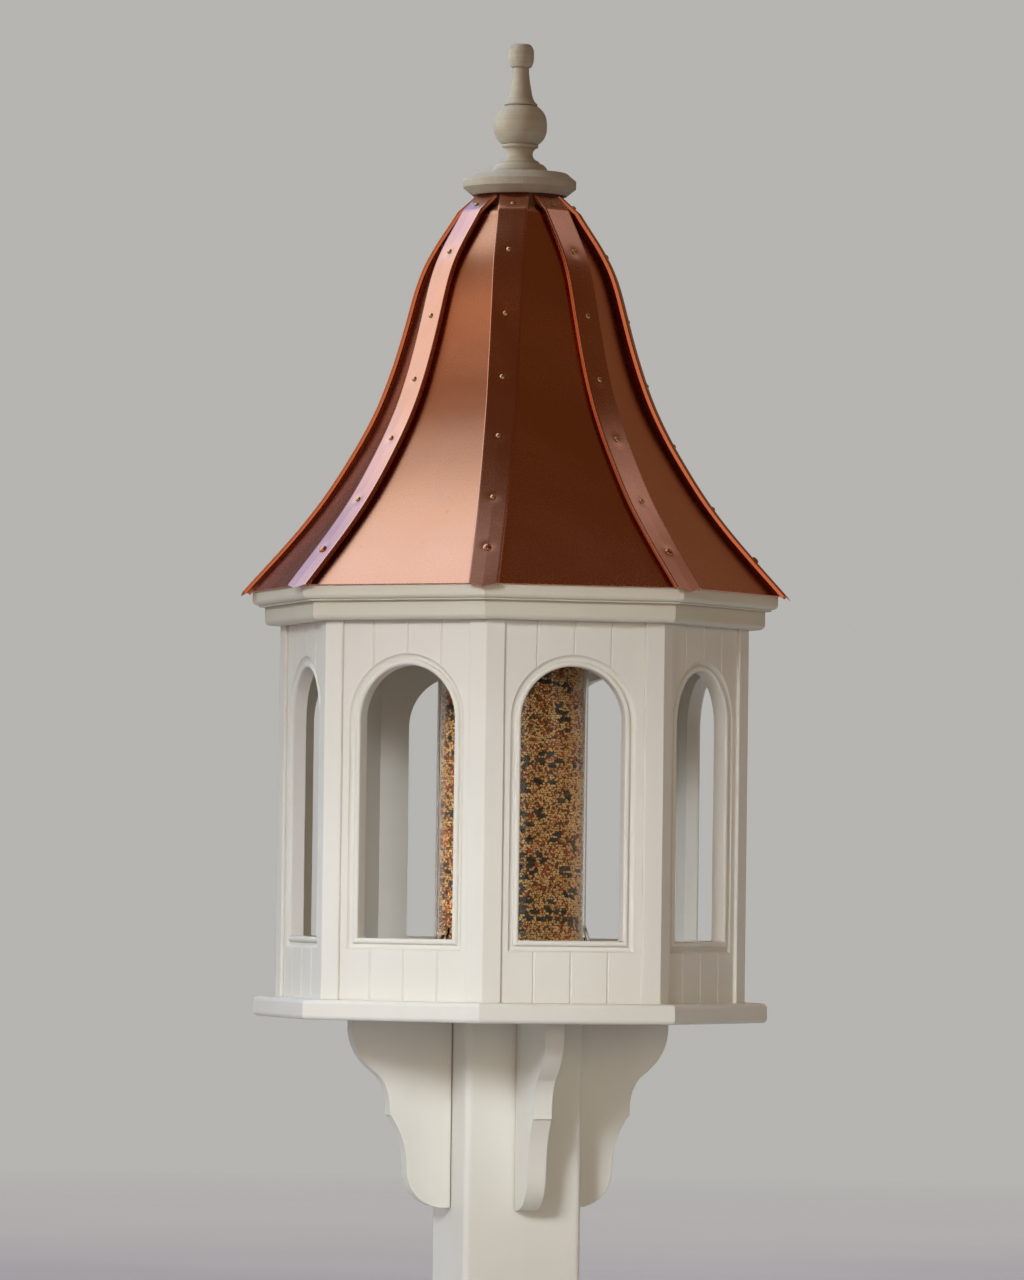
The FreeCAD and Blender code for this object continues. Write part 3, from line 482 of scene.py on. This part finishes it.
def cap_skin(line, normal, section, thin):
    """Vertices (row, column, xyz) of one face of a cap, thin in from its outside."""
    verts = np.zeros((len(line), len(section), 3))
    for j, (side, out) in enumerate(section):
        on_flange = abs(side) > CAP_HALF * 0.95
        inward = math.copysign(min(thin, abs(side)), side) if on_flange else 0.0
        drop = thin if not on_flange or out > -1.2 * MM else 0.0
        verts[:, j, 0] = line[:, 0] + normal[:, 0] * (out - drop)
        verts[:, j, 1] = side - inward
        verts[:, j, 2] = line[:, 1] + normal[:, 1] * (out - drop) + EAVE_Z
    return verts


def push(verts, column, normal, distance):
    """Moves one column of a skin outwards, row by row."""
    verts[:, column, 0] += normal[:, 0] * distance
    verts[:, column, 2] += normal[:, 1] * distance


def wear_cap(verts, line, normal, section, index):
    """Dents round the nails, a slightly uneven folded edge, and the pointed foot."""
    heights = np.concatenate([PIN_HEIGHTS, [RIVET_HEIGHT]])
    nails = [line[np.argmin(abs(line[:, 1] - height))] for height in heights]
    wobble = np.array([noise.noise(Vector((p[0] / 0.03, p[1] / 0.03, index * 9.1))) for p in line])
    slope = unit(line[2] - line[0])
    for j, side in enumerate(section[:, 0]):
        for nail in nails:
            apart = ((line - nail) ** 2).sum(axis=1) + side * side
            push(verts, j, normal, -DENT_DEPTH * np.exp(-apart / DENT_REACH ** 2))
        verts[:, j, 1] += wobble * SIDE_WOBBLE
        push(verts, j, normal, wobble * LIFT_WOBBLE * abs(side) / CAP_HALF)
        # the foot's rows slide up the slope away from the middle, which leaves the point
        back = min(abs(side) / CAP_HALF, 1.0) * CAP_POINT
        for row, share in ((0, 1.0), (1, 0.5)):
            verts[row, j, 0] += slope[0] * back * share
            verts[row, j, 2] += slope[1] * back * share


def ridge_cap(index):
    """The folded strip over one ridge, with dents where it is nailed and a pointed foot."""
    section = cap_section()
    line, normal = cap_path()
    skins = [cap_skin(line, normal, section, thin) for thin in (0.0, CAP_SHEET)]
    for verts in skins:
        wear_cap(verts, line, normal, section, index)
    verts = turned(np.vstack([verts.reshape(-1, 3) for verts in skins]), (index + 0.5) * STEP)
    obj = new_object("copper_cap_%d" % (index + 1), verts, shell_faces(len(line), len(section)),
                     [CAP_COPPER], crease=math.radians(50))
    return stand_for(obj, "feeder", "copper", "ridge_cap_%d" % (index + 1))


for facet in range(SIDES):
    roof_panel(facet)
    ridge_cap(facet)


# ---- seed ---------------------------------------------------------------------------------

seed_low, seed_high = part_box("seed_fill")
SEED_R = seed_high.x
MILLET_D = 2.1 * MM
MILO_D = 3.3 * MM
SUNFLOWER = (9.6 * MM, 4.6 * MM, 3.4 * MM)      # length, width, thickness
SUNFLOWER_SIDE = math.radians(264)      # they lie thicker on this side of the tube
MILO_SIDE = math.radians(192)           # and the milo on this one
MILO_CELL = 2.6 * MM                    # room for one milo grain
MILLET_JITTER = 0.30 * MM
SCATTER_TRIES = 5200
SECTORS = 8                             # the grains on the tube wall are in this many pieces
TOP_GRAINS = 2400
# colour and roughness of each kind of grain
GRAIN_TONES = {
    "millet_gold": ((0.88, 0.50, 0.20), 0.42), "millet_pale": ((0.94, 0.64, 0.31), 0.42),
    "millet_tan": ((0.66, 0.33, 0.10), 0.5), "milo_red": ((0.46, 0.09, 0.02), 0.38),
    "milo_brown": ((0.20, 0.055, 0.02), 0.42), "sunflower": ((0.020, 0.022, 0.026), 0.40),
    "sunflower_grey": ((0.045, 0.048, 0.054), 0.45), "husk": ((0.14, 0.07, 0.025), 0.6)}
GRAINS = [grain_material(name, *look) for name, look in GRAIN_TONES.items()]
TONE_INDEX = {name: i for i, name in enumerate(GRAIN_TONES)}


def ball_template(subdivisions, shape=(1, 1, 1), pinch=0.0):
    """Vertices and triangles of a unit-diameter grain."""
    bpy.ops.mesh.primitive_ico_sphere_add(subdivisions=subdivisions, radius=0.5)
    obj = bpy.context.object
    verts = np.array([v.co for v in obj.data.vertices], float)
    faces = np.array([tuple(p.vertices) for p in obj.data.polygons])
    bpy.data.objects.remove(obj)
    taper = 1 - pinch * (verts[:, 0:1] + 0.5)
    verts[:, 1:] *= taper
    return verts * np.array(shape), faces


def rotations(count):
    """Random rotation matrices from unit quaternions."""
    q = rng.normal(size=(count, 4))
    q /= np.linalg.norm(q, axis=1)[:, None]
    w, x, y, z = q.T
    return np.array([[1 - 2 * (y * y + z * z), 2 * (x * y - z * w), 2 * (x * z + y * w)],
                     [2 * (x * y + z * w), 1 - 2 * (x * x + z * z), 2 * (y * z - x * w)],
                     [2 * (x * z - y * w), 2 * (y * z + x * w), 1 - 2 * (x * x + y * y)]]
                    ).transpose(2, 0, 1)


def flat_rotations(angles, tilt, spin):
    """Grains that lie against the tube: long axis along the wall, at a tilt from level."""
    radial = np.column_stack([np.cos(angles), np.sin(angles), np.zeros(len(angles))])
    around = np.column_stack([-np.sin(angles), np.cos(angles), np.zeros(len(angles))])
    up = np.tile([0.0, 0.0, 1.0], (len(angles), 1))
    along = around * np.cos(tilt)[:, None] + up * np.sin(tilt)[:, None]
    cross = np.cross(radial, along)
    wide = cross * np.cos(spin)[:, None] + radial * np.sin(spin)[:, None]
    return np.stack([along, wide, np.cross(along, wide)], axis=2)


def scatter_mesh(name, batches):
    """One mesh from batches of (template, centres, rotations, sizes, material numbers)."""
    verts, faces, numbers, offset = [], [], [], 0
    for (template, triangles), centres, turns, sizes, tones in batches:
        placed = np.einsum("nij,vj->nvi", turns, template) * sizes[:, None, None]
        placed += centres[:, None, :]
        count, size = len(centres), len(template)
        verts.append(placed.reshape(-1, 3))
        shift = (np.arange(count) * size + offset)[:, None, None]
        faces.append((triangles[None] + shift).reshape(-1, 3))
        numbers.append(np.repeat(tones, len(triangles)))
        offset += count * size
    verts, faces, numbers = np.vstack(verts), np.vstack(faces), np.concatenate(numbers)
    mesh = bpy.data.meshes.new(name)
    mesh.vertices.add(len(verts))
    mesh.vertices.foreach_set("co", verts.astype(np.float32).ravel())
    mesh.loops.add(faces.size)
    mesh.loops.foreach_set("vertex_index", faces.astype(np.int32).ravel())
    mesh.polygons.add(len(faces))
    mesh.polygons.foreach_set("loop_start", np.arange(0, faces.size, 3, dtype=np.int32))
    mesh.polygons.foreach_set("loop_total", np.full(len(faces), 3, dtype=np.int32))
    mesh.polygons.foreach_set("use_smooth", np.ones(len(faces), dtype=bool))
    for material in GRAINS:
        mesh.materials.append(material)
    mesh.polygons.foreach_set("material_index", numbers.astype(np.int32))
    mesh.validate()
    mesh.update()
    obj = bpy.data.objects.new(name, mesh)
    bpy.context.scene.collection.objects.link(obj)
    return obj


def layered(around, height, wavelength, seed):
    """Noise that runs in layers round the tube, as poured seed does."""
    angle = around / SEED_R
    points = np.column_stack([np.cos(angle) * SEED_R, np.sin(angle) * SEED_R, height * 2.2])
    return wave(points, wavelength, seed)


def spaced(u, z, apart_u, apart_z):
    """Numbers of the places that lie clear of every earlier place that was kept."""
    kept = []
    for i in range(len(u)):
        if not any(abs(u[k] - u[i]) < apart_u and abs(z[k] - z[i]) < apart_z for k in kept):
            kept.append(i)
    return kept


def sunflower_places(low, high, ring):
    """Clusters that thicken towards the foot: way round the tube, height, tilt."""
    u, z = rng.uniform(0, ring, SCATTER_TRIES), rng.uniform(low, high, SCATTER_TRIES)
    depth_share = 1 - (z - low) / (high - low)
    wanted = layered(u, z, 0.020, 40.0) + 0.45 * layered(u, z, 0.06, 3.0)
    wanted += 0.24 * np.cos(u / SEED_R - SUNFLOWER_SIDE)
    keep = wanted > 0.70 - 0.56 * depth_share + rng.uniform(-0.10, 0.10, SCATTER_TRIES)
    u, z = u[keep], z[keep]
    kept = spaced(u, z, 6.4 * MM, 3.6 * MM)
    return u[kept], z[kept], rng.normal(0, 0.35, len(kept))


def milo_places(low, high, ring, sunflower):
    """Milo in loose layers, clear of the sunflower seed: way round the tube, height."""
    u, z = rng.uniform(0, ring, SCATTER_TRIES), rng.uniform(low, high, SCATTER_TRIES)
    wanted = layered(u, z, 0.03, 77.0) + rng.uniform(-0.5, 0.5, SCATTER_TRIES)
    wanted += 0.15 * np.cos(u / SEED_R - MILO_SIDE)
    keep = wanted > -0.10
    for other_u, other_z, _ in zip(*sunflower):
        keep &= (abs(u - other_u) > 4.6 * MM) | (abs(z - other_z) > 2.6 * MM)
    u, z = u[keep], z[keep]
    cells = {}
    for i, cell in enumerate(zip((u / MILO_CELL).astype(int), (z / MILO_CELL).astype(int))):
        cells.setdefault(cell, i)
    kept = list(cells.values())
    return u[kept], z[kept]


def millet_places(low, high, ring, sunflower, milo):
    """Millet on a jittered lattice wherever the other seed leaves room."""
    pitch = MILLET_D * 1.01
    rise = pitch * 0.866                # rows of a triangular lattice
    column, row = np.meshgrid(np.arange(int(ring / pitch)), np.arange(int((high - low) / rise)))
    u = ((column + 0.5 * (row % 2)) * pitch).ravel() + rng.normal(0, MILLET_JITTER, column.size)
    z = low + (row * rise).ravel() + rng.normal(0, MILLET_JITTER, column.size)
    free = np.ones(len(u), bool)
    for other_u, other_z, tilt in zip(*sunflower):
        du, dz = u - other_u, z - other_z
        along = du * math.cos(tilt) + dz * math.sin(tilt)
        across = dz * math.cos(tilt) - du * math.sin(tilt)
        free &= (along / (4.5 * MM)) ** 2 + (across / (2.3 * MM)) ** 2 > 1
    for other_u, other_z in zip(*milo):
        du, dz = abs(u - other_u), abs(z - other_z)
        near = (du < 2 * MM) & (dz < 2 * MM)
        free &= ~(near & (du ** 2 + dz ** 2 < (1.45 * MM) ** 2))
    return u[free], z[free]


def pick(share, *names):
    """Material numbers: names[k] where share falls in the k-th equal part."""
    numbers = np.array([TONE_INDEX[n] for n in names])
    return numbers[np.clip((share * len(names)).astype(int), 0, len(names) - 1)]


def against_wall(template, u, z, size, turns, tones, inset):
    """A batch of grains, and its angles round the tube."""
    angle = np.mod(u / SEED_R, 2 * math.pi)
    radius = SEED_R - inset
    centres = np.column_stack([np.cos(angle) * radius, np.sin(angle) * radius, z])
    return (template, centres, turns, size, tones), angle


def sunflower_batch(u, z, tilt):
    n = len(u)
    template = ball_template(3, tuple(d / SUNFLOWER[0] for d in SUNFLOWER), 0.42)
    length = SUNFLOWER[0] * rng.uniform(0.82, 1.08, n)
    tilt = tilt + math.pi * (rng.random(n) > 0.5)
    turns = flat_rotations(u / SEED_R, tilt, rng.normal(0, 0.35, n))
    tones = pick(rng.random(n), "sunflower", "sunflower", "sunflower_grey")
    return against_wall(template, u, z, length, turns, tones,
                        length * 0.20 + rng.uniform(0, 0.5, n) * MM)


def milo_batch(u, z):
    n = len(u)
    size = MILO_D * rng.uniform(0.86, 1.12, n)
    turns = rotations(n)
    tones = pick(rng.random(n), "milo_red", "milo_brown", "milo_red")
    return against_wall(ball_template(2, (1, 0.96, 0.9)), u, z, size, turns, tones,
                        size / 2 + rng.uniform(0, 0.35, n) * MM)


def millet_batch(u, z):
    n = len(u)
    size = MILLET_D * rng.uniform(0.86, 1.16, n)
    # painted shade: the millet takes darker tones on the side of the tube towards MILO_SIDE
    shaded_side = np.clip(np.cos(u / SEED_R - MILO_SIDE), 0, 1) ** 2
    share = 0.54 - 0.30 * shaded_side + 0.35 * layered(u, z, 0.02, 9.0) + rng.normal(0, 0.32, n)
    tones = pick(np.clip(share, 0, 0.999), "husk", "millet_tan", "millet_tan", "millet_gold",
                 "millet_gold", "millet_gold", "millet_pale", "millet_pale")
    return against_wall(ball_template(1, (1.05, 1.0, 0.92)), u, z, size, rotations(n), tones,
                        size / 2 + rng.uniform(0, 0.7, n) * MM)


def seed_on_wall():
    """Every grain that shows through the tube, from the floor to the ceiling."""
    reach = FLOOR_TOP + 5 * MM, CEILING + 12 * MM, 2 * math.pi * SEED_R
    sunflower = sunflower_places(*reach)
    milo = milo_places(*reach, sunflower)
    millet = millet_places(*reach, sunflower, milo)
    batches = [sunflower_batch(*sunflower), milo_batch(*milo), millet_batch(*millet)]
    for k in range(SECTORS):
        in_sector = []
        for (template, *columns), angle in batches:
            here = (angle // (2 * math.pi / SECTORS)).astype(int) == k
            in_sector.append((template, *(column[here] for column in columns)))
        obj = scatter_mesh("seed_grains_%d" % (k + 1), in_sector)
        stand_for(obj, "feeder", "seed", "seed_fill")


def seed_on_top():
    """The loose surface of the charge, a low cone."""
    peak = 14 * MM
    radius = SEED_R * np.sqrt(rng.random(TOP_GRAINS)) * 0.97
    angle = rng.random(TOP_GRAINS) * 2 * math.pi
    height = seed_high.z - peak * radius / SEED_R - rng.uniform(1.0, 1.9, TOP_GRAINS) * MM
    centres = np.column_stack([np.cos(angle) * radius, np.sin(angle) * radius, height])
    tones = pick(rng.random(TOP_GRAINS), "millet_tan", "millet_gold", "millet_gold",
                 "millet_pale", "milo_red", "husk")
    turns = rotations(TOP_GRAINS)
    size = MILLET_D * rng.uniform(0.9, 1.2, TOP_GRAINS)
    batch = ball_template(2, (1, 0.94, 0.86)), centres, turns, size, tones
    stand_for(scatter_mesh("seed_top", [batch]), "feeder", "seed", "seed_fill")


def seed_core():
    """The mass of seed behind the grains: a slightly smaller charge."""
    inset, around = 1.5 * MM, 96
    foot = FLOOR_TOP + 46.4 * MM + inset        # over the tip of the seed cone
    r = SEED_R - inset
    outline = [(7 * MM, foot), (r, seed_low.z + 2 * inset), (r, seed_high.z - 15.6 * MM),
               (r * 0.5, seed_high.z - 9 * MM)]
    verts = [(0, 0, foot)]
    for radius, height in outline:
        verts += circle(radius, height, around)
    verts.append((0, 0, seed_high.z - 2.4 * MM))
    faces = [(0, 1 + (k + 1) % around, 1 + k) for k in range(around)]
    for ring in range(len(outline) - 1):
        a = 1 + ring * around
        faces += [(a + k, a + (k + 1) % around, a + around + (k + 1) % around, a + around + k)
                  for k in range(around)]
    last = 1 + (len(outline) - 1) * around
    faces += [(last + k, last + (k + 1) % around, len(verts) - 1) for k in range(around)]
    # its dark material is painted shade between the grains
    obj = new_object("seed_core", verts, faces, [SEED_SHADE])
    return stand_for(obj, "feeder", "seed", "seed_fill")


seed_core()
seed_on_wall()
seed_on_top()


# ---- stage, light and camera --------------------------------------------------------------

AZIMUTH = math.radians(-16.1)
CAMERA_DISTANCE = 6.15
CAMERA_ABOVE_FLOOR_BOARD = 0.1089
CAMERA_PITCH = math.radians(1.96)
CAMERA_ROLL = math.radians(0.75)
CAMERA_LENS = 205.3
AIM_LEFT = 0.0015

BACKDROP = (0.47, 0.46, 0.44)
ROOM_BASE = (0.088, 0.038, 0.014)
# soft bright patches of the room: azimuth, elevation, full within, gone beyond, colour
ROOM = [(-107, 20, 8, 32, (0.98, 1.20, 1.36)),
        (-114, 58, 8, 30, (0.92, 1.14, 1.30)),
        (-144, 46, 6, 27, (0.34, 0.62, 1.45)),
        (-78, 24, 8, 36, (0.22, 0.17, 0.13)),
        (-50, 14, 4, 20, (0.70, 0.43, 0.28)),
        (-4, -3, 6, 24, (0.85, 0.44, 0.27)),
        (109, 51, 3, 12, (0.48, 0.50, 0.56)),
        (140, 22, 10, 46, (0.07, 0.05, 0.035))]
# softboxes: name, azimuth, elevation, distance, size, power, colour, height aimed at, spread
LAMPS = [("key", -20, 20, 2.4, 0.5, 0.88, (0.95, 0.99, 1.08), 0.30, 25),
         ("finial_key", -75, 16, 2.4, 0.5, 0.45, (1.0, 1.0, 0.97), 1.06, 14),
         ("front_fill", 17, 8, 4.5, 1.2, 0.95, (1.0, 0.93, 0.74), 0.30, 34),
         ("sky_fill", -50, 66, 3.6, 3.0, 3, (0.97, 1.0, 0.98), 0.62, 180),
         ("left_fill", -100, 14, 4.0, 2.4, 4, (1.0, 0.93, 0.82), 0.62, 180),
         ("right_fill", 66, 12, 4.0, 1.2, 0.42, (1.0, 0.95, 0.80), 0.30, 34),
         ("back_fill", 178, 30, 4.0, 2.4, 29, (1.0, 0.90, 0.77), 0.62, 180)]


def camera():
    """A long lens a little above the feeder's floor, turned off the facet and slightly up."""
    data = bpy.data.cameras.new("camera")
    data.lens = CAMERA_LENS
    data.sensor_width = 36
    data.clip_end = 200
    obj = bpy.data.objects.new("camera", data)
    bpy.context.scene.collection.objects.link(obj)
    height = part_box("floor_board")[0].z + CAMERA_ABOVE_FLOOR_BOARD
    sight = Vector((-math.sin(AZIMUTH), math.cos(AZIMUTH), 0))
    right = Vector((sight.y, -sight.x, 0))
    obj.location = -sight * CAMERA_DISTANCE - right * AIM_LEFT + Vector((0, 0, height))
    look = sight * math.cos(CAMERA_PITCH) + Vector((0, 0, math.sin(CAMERA_PITCH)))
    turn = look.to_track_quat("-Z", "Y").to_matrix().to_4x4()
    obj.matrix_world = Matrix.Translation(obj.location) @ turn @ Matrix.Rotation(CAMERA_ROLL, 4, "Z")
    bpy.context.scene.camera = obj


def towards(azimuth, elevation):
    """Unit vector; azimuth is degrees to the right of the camera, seen from the object."""
    a = AZIMUTH + math.radians(azimuth)
    e = math.radians(elevation)
    return Vector((math.sin(a) * math.cos(e), -math.cos(a) * math.cos(e), math.sin(e)))


def area_light(name, azimuth, elevation, distance, size, power, colour, aim_height, spread):
    """A softbox that shines on the feeder but doesn't show in its copper."""
    aim = Vector((0, 0, aim_height))
    data = bpy.data.lights.new(name, "AREA")
    data.size = size
    data.energy = power
    data.color = colour
    data.spread = math.radians(spread)
    obj = bpy.data.objects.new(name, data)
    bpy.context.scene.collection.objects.link(obj)
    obj.location = aim + towards(azimuth, elevation) * distance
    obj.rotation_euler = (aim - obj.location).to_track_quat("-Z", "Y").to_euler()
    obj.visible_glossy = False


def room_glow(tree):
    """The colour of the room by direction: its base and the bright patches."""
    direction = tree.nodes.new("ShaderNodeTexCoord").outputs["Generated"]
    total = None
    for azimuth, elevation, inner, outer, colour in ROOM:
        dot = tree.nodes.new("ShaderNodeVectorMath")
        dot.operation = "DOT_PRODUCT"
        tree.links.new(direction, dot.inputs[0])
        dot.inputs[1].default_value = towards(azimuth, elevation)
        span = tree.nodes.new("ShaderNodeMapRange")
        span.interpolation_type = "SMOOTHSTEP"
        tree.links.new(dot.outputs["Value"], span.inputs[0])
        span.inputs[1].default_value = math.cos(math.radians(outer))
        span.inputs[2].default_value = math.cos(math.radians(inner))
        add = tree.nodes.new("ShaderNodeMix")
        add.data_type = "RGBA"
        add.blend_type = "ADD"
        tree.links.new(span.outputs[0], add.inputs[0])
        if total is None:
            add.inputs[6].default_value = (*ROOM_BASE, 1)
        else:
            tree.links.new(total, add.inputs[6])
        add.inputs[7].default_value = (*colour, 1)
        total = add.outputs[2]
    return total


def studio_world():
    """Plain pale surroundings for the camera; for the light, a dim room with soft bright walls."""
    world = bpy.data.worlds.new("studio")
    bpy.context.scene.world = world
    world.use_nodes = True
    tree = world.node_tree
    path = tree.nodes.new("ShaderNodeLightPath")
    seen = tree.nodes.new("ShaderNodeMath")
    seen.operation = "MAXIMUM"
    tree.links.new(path.outputs["Is Camera Ray"], seen.inputs[0])
    tree.links.new(path.outputs["Is Transmission Ray"], seen.inputs[1])
    mix = tree.nodes.new("ShaderNodeMix")
    mix.data_type = "RGBA"
    tree.links.new(seen.outputs[0], mix.inputs[0])
    tree.links.new(room_glow(tree), mix.inputs[6])
    mix.inputs[7].default_value = (*BACKDROP, 1)
    tree.links.new(mix.outputs[2], tree.nodes["Background"].inputs["Color"])


def stage_floor():
    """A pale floor that fades into the backdrop away from the feeder."""
    s = Shader("stage_floor", Roughness=0.9)
    s.set("Base Color", s.ramp(s.noise(3, 3), (0.3, (0.70, 0.69, 0.67)), (0.7, (0.74, 0.73, 0.71))))
    reach = s.node("ShaderNodeVectorMath")
    reach.operation = "LENGTH"
    s.tree.links.new(s.coords, reach.inputs[0])
    s.set("Alpha", s.span(reach.outputs["Value"], 1.6, 4.5, 1.0, 0.0))
    around, radius = 64, 6.0
    verts = circle(radius, -0.5 * MM, around)
    new_object("stage_floor", verts, [tuple(range(around))], [s.material])


camera()
studio_world()
stage_floor()
for lamp in LAMPS:
    area_light(*lamp)
bpy.context.scene.view_settings.view_transform = "Standard"
